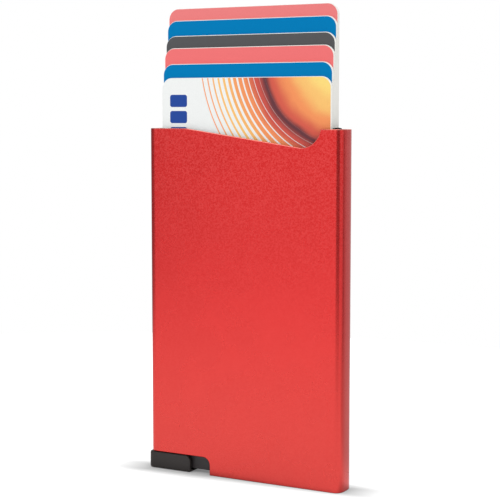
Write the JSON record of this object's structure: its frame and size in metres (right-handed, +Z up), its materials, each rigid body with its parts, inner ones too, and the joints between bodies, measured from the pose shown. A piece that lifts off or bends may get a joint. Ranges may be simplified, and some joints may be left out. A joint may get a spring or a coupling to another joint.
{
  "type": "card holder",
  "caption": "Flat aluminium tube for bank cards with a sloped thumb scoop and a sliding lever that fans the cards upward.",
  "frame": {"origin": "on the ground under the middle of the tube's lower rim", "axes": "+Z up along the tube, towards its open mouth; -Y is the front, with the thumb scoop; -X is the lever's end"},
  "size_m": [0.0625, 0.008, 0.1342],
  "materials": {
    "anodised_red": "fine blasted and anodised red",
    "base_grey": "matte dark grey moulded",
    "lever_black": "satin black moulded",
    "elastomer_black": "matte black",
    "pin_steel": "ground",
    "spring_steel": "drawn wire",
    "card_print": "printed and laminated",
    "card_pink": "laminated",
    "card_charcoal": "laminated",
    "card_blue": "laminated"
  },
  "bodies": {
    "holder": {"casing": "anodised_red", "base_front": "base_grey", "base_back": "base_grey", "base_pin_1": "pin_steel", "base_pin_2": "pin_steel", "side_guide_left": "base_grey", "side_guide_right": "base_grey", "grip_strip_left": "elastomer_black", "grip_strip_right": "elastomer_black", "pivot_pin": "pin_steel", "return_spring": "spring_steel"},
    "lever": {"lever_shoe": "lever_black", "drive_pin": "pin_steel"},
    "ejector": {"ejector": "base_grey"},
    "card_1": {"card_1": "card_print"},
    "card_2": {"card_2": "card_blue"},
    "card_3": {"card_3": "card_pink"},
    "card_4": {"card_4": "card_charcoal"},
    "card_5": {"card_5": "card_blue"},
    "card_6": {"card_6": "card_pink"}
  },
  "joints": [
    {"name": "lever_slide", "type": "slide", "parent": "holder", "child": "lever", "axis": [1, 0, 0], "range_m": [0, 0.00548], "stiffness_N_per_m": 100, "springref_m": -0.004, "deforming": ["return_spring"]},
    {"name": "ejector_turn", "type": "hinge", "parent": "holder", "child": "ejector", "pos_m": [-0.01967, 0, 0.00835], "axis": [0, -1, 0], "range_deg": [0, 60]},
    {"name": "card_1_slide", "type": "slide", "parent": "holder", "child": "card_1", "axis": [0, 0, 1], "range_m": [-0.01799, 0.06631]},
    {"name": "card_2_slide", "type": "slide", "parent": "holder", "child": "card_2", "axis": [0, 0, 1], "range_m": [-0.02197, 0.06233]},
    {"name": "card_3_slide", "type": "slide", "parent": "holder", "child": "card_3", "axis": [0, 0, 1], "range_m": [-0.02652, 0.05778]},
    {"name": "card_4_slide", "type": "slide", "parent": "holder", "child": "card_4", "axis": [0, 0, 1], "range_m": [-0.03, 0.0543]},
    {"name": "card_5_slide", "type": "slide", "parent": "holder", "child": "card_5", "axis": [0, 0, 1], "range_m": [-0.0344, 0.0499]},
    {"name": "card_6_slide", "type": "slide", "parent": "holder", "child": "card_6", "axis": [0, 0, 1], "range_m": [-0.03788, 0.04642]}
  ],
  "couplings": [
    {"joint": "ejector_turn", "follows": "lever_slide", "rad_per_m": 190.93}
  ]
}
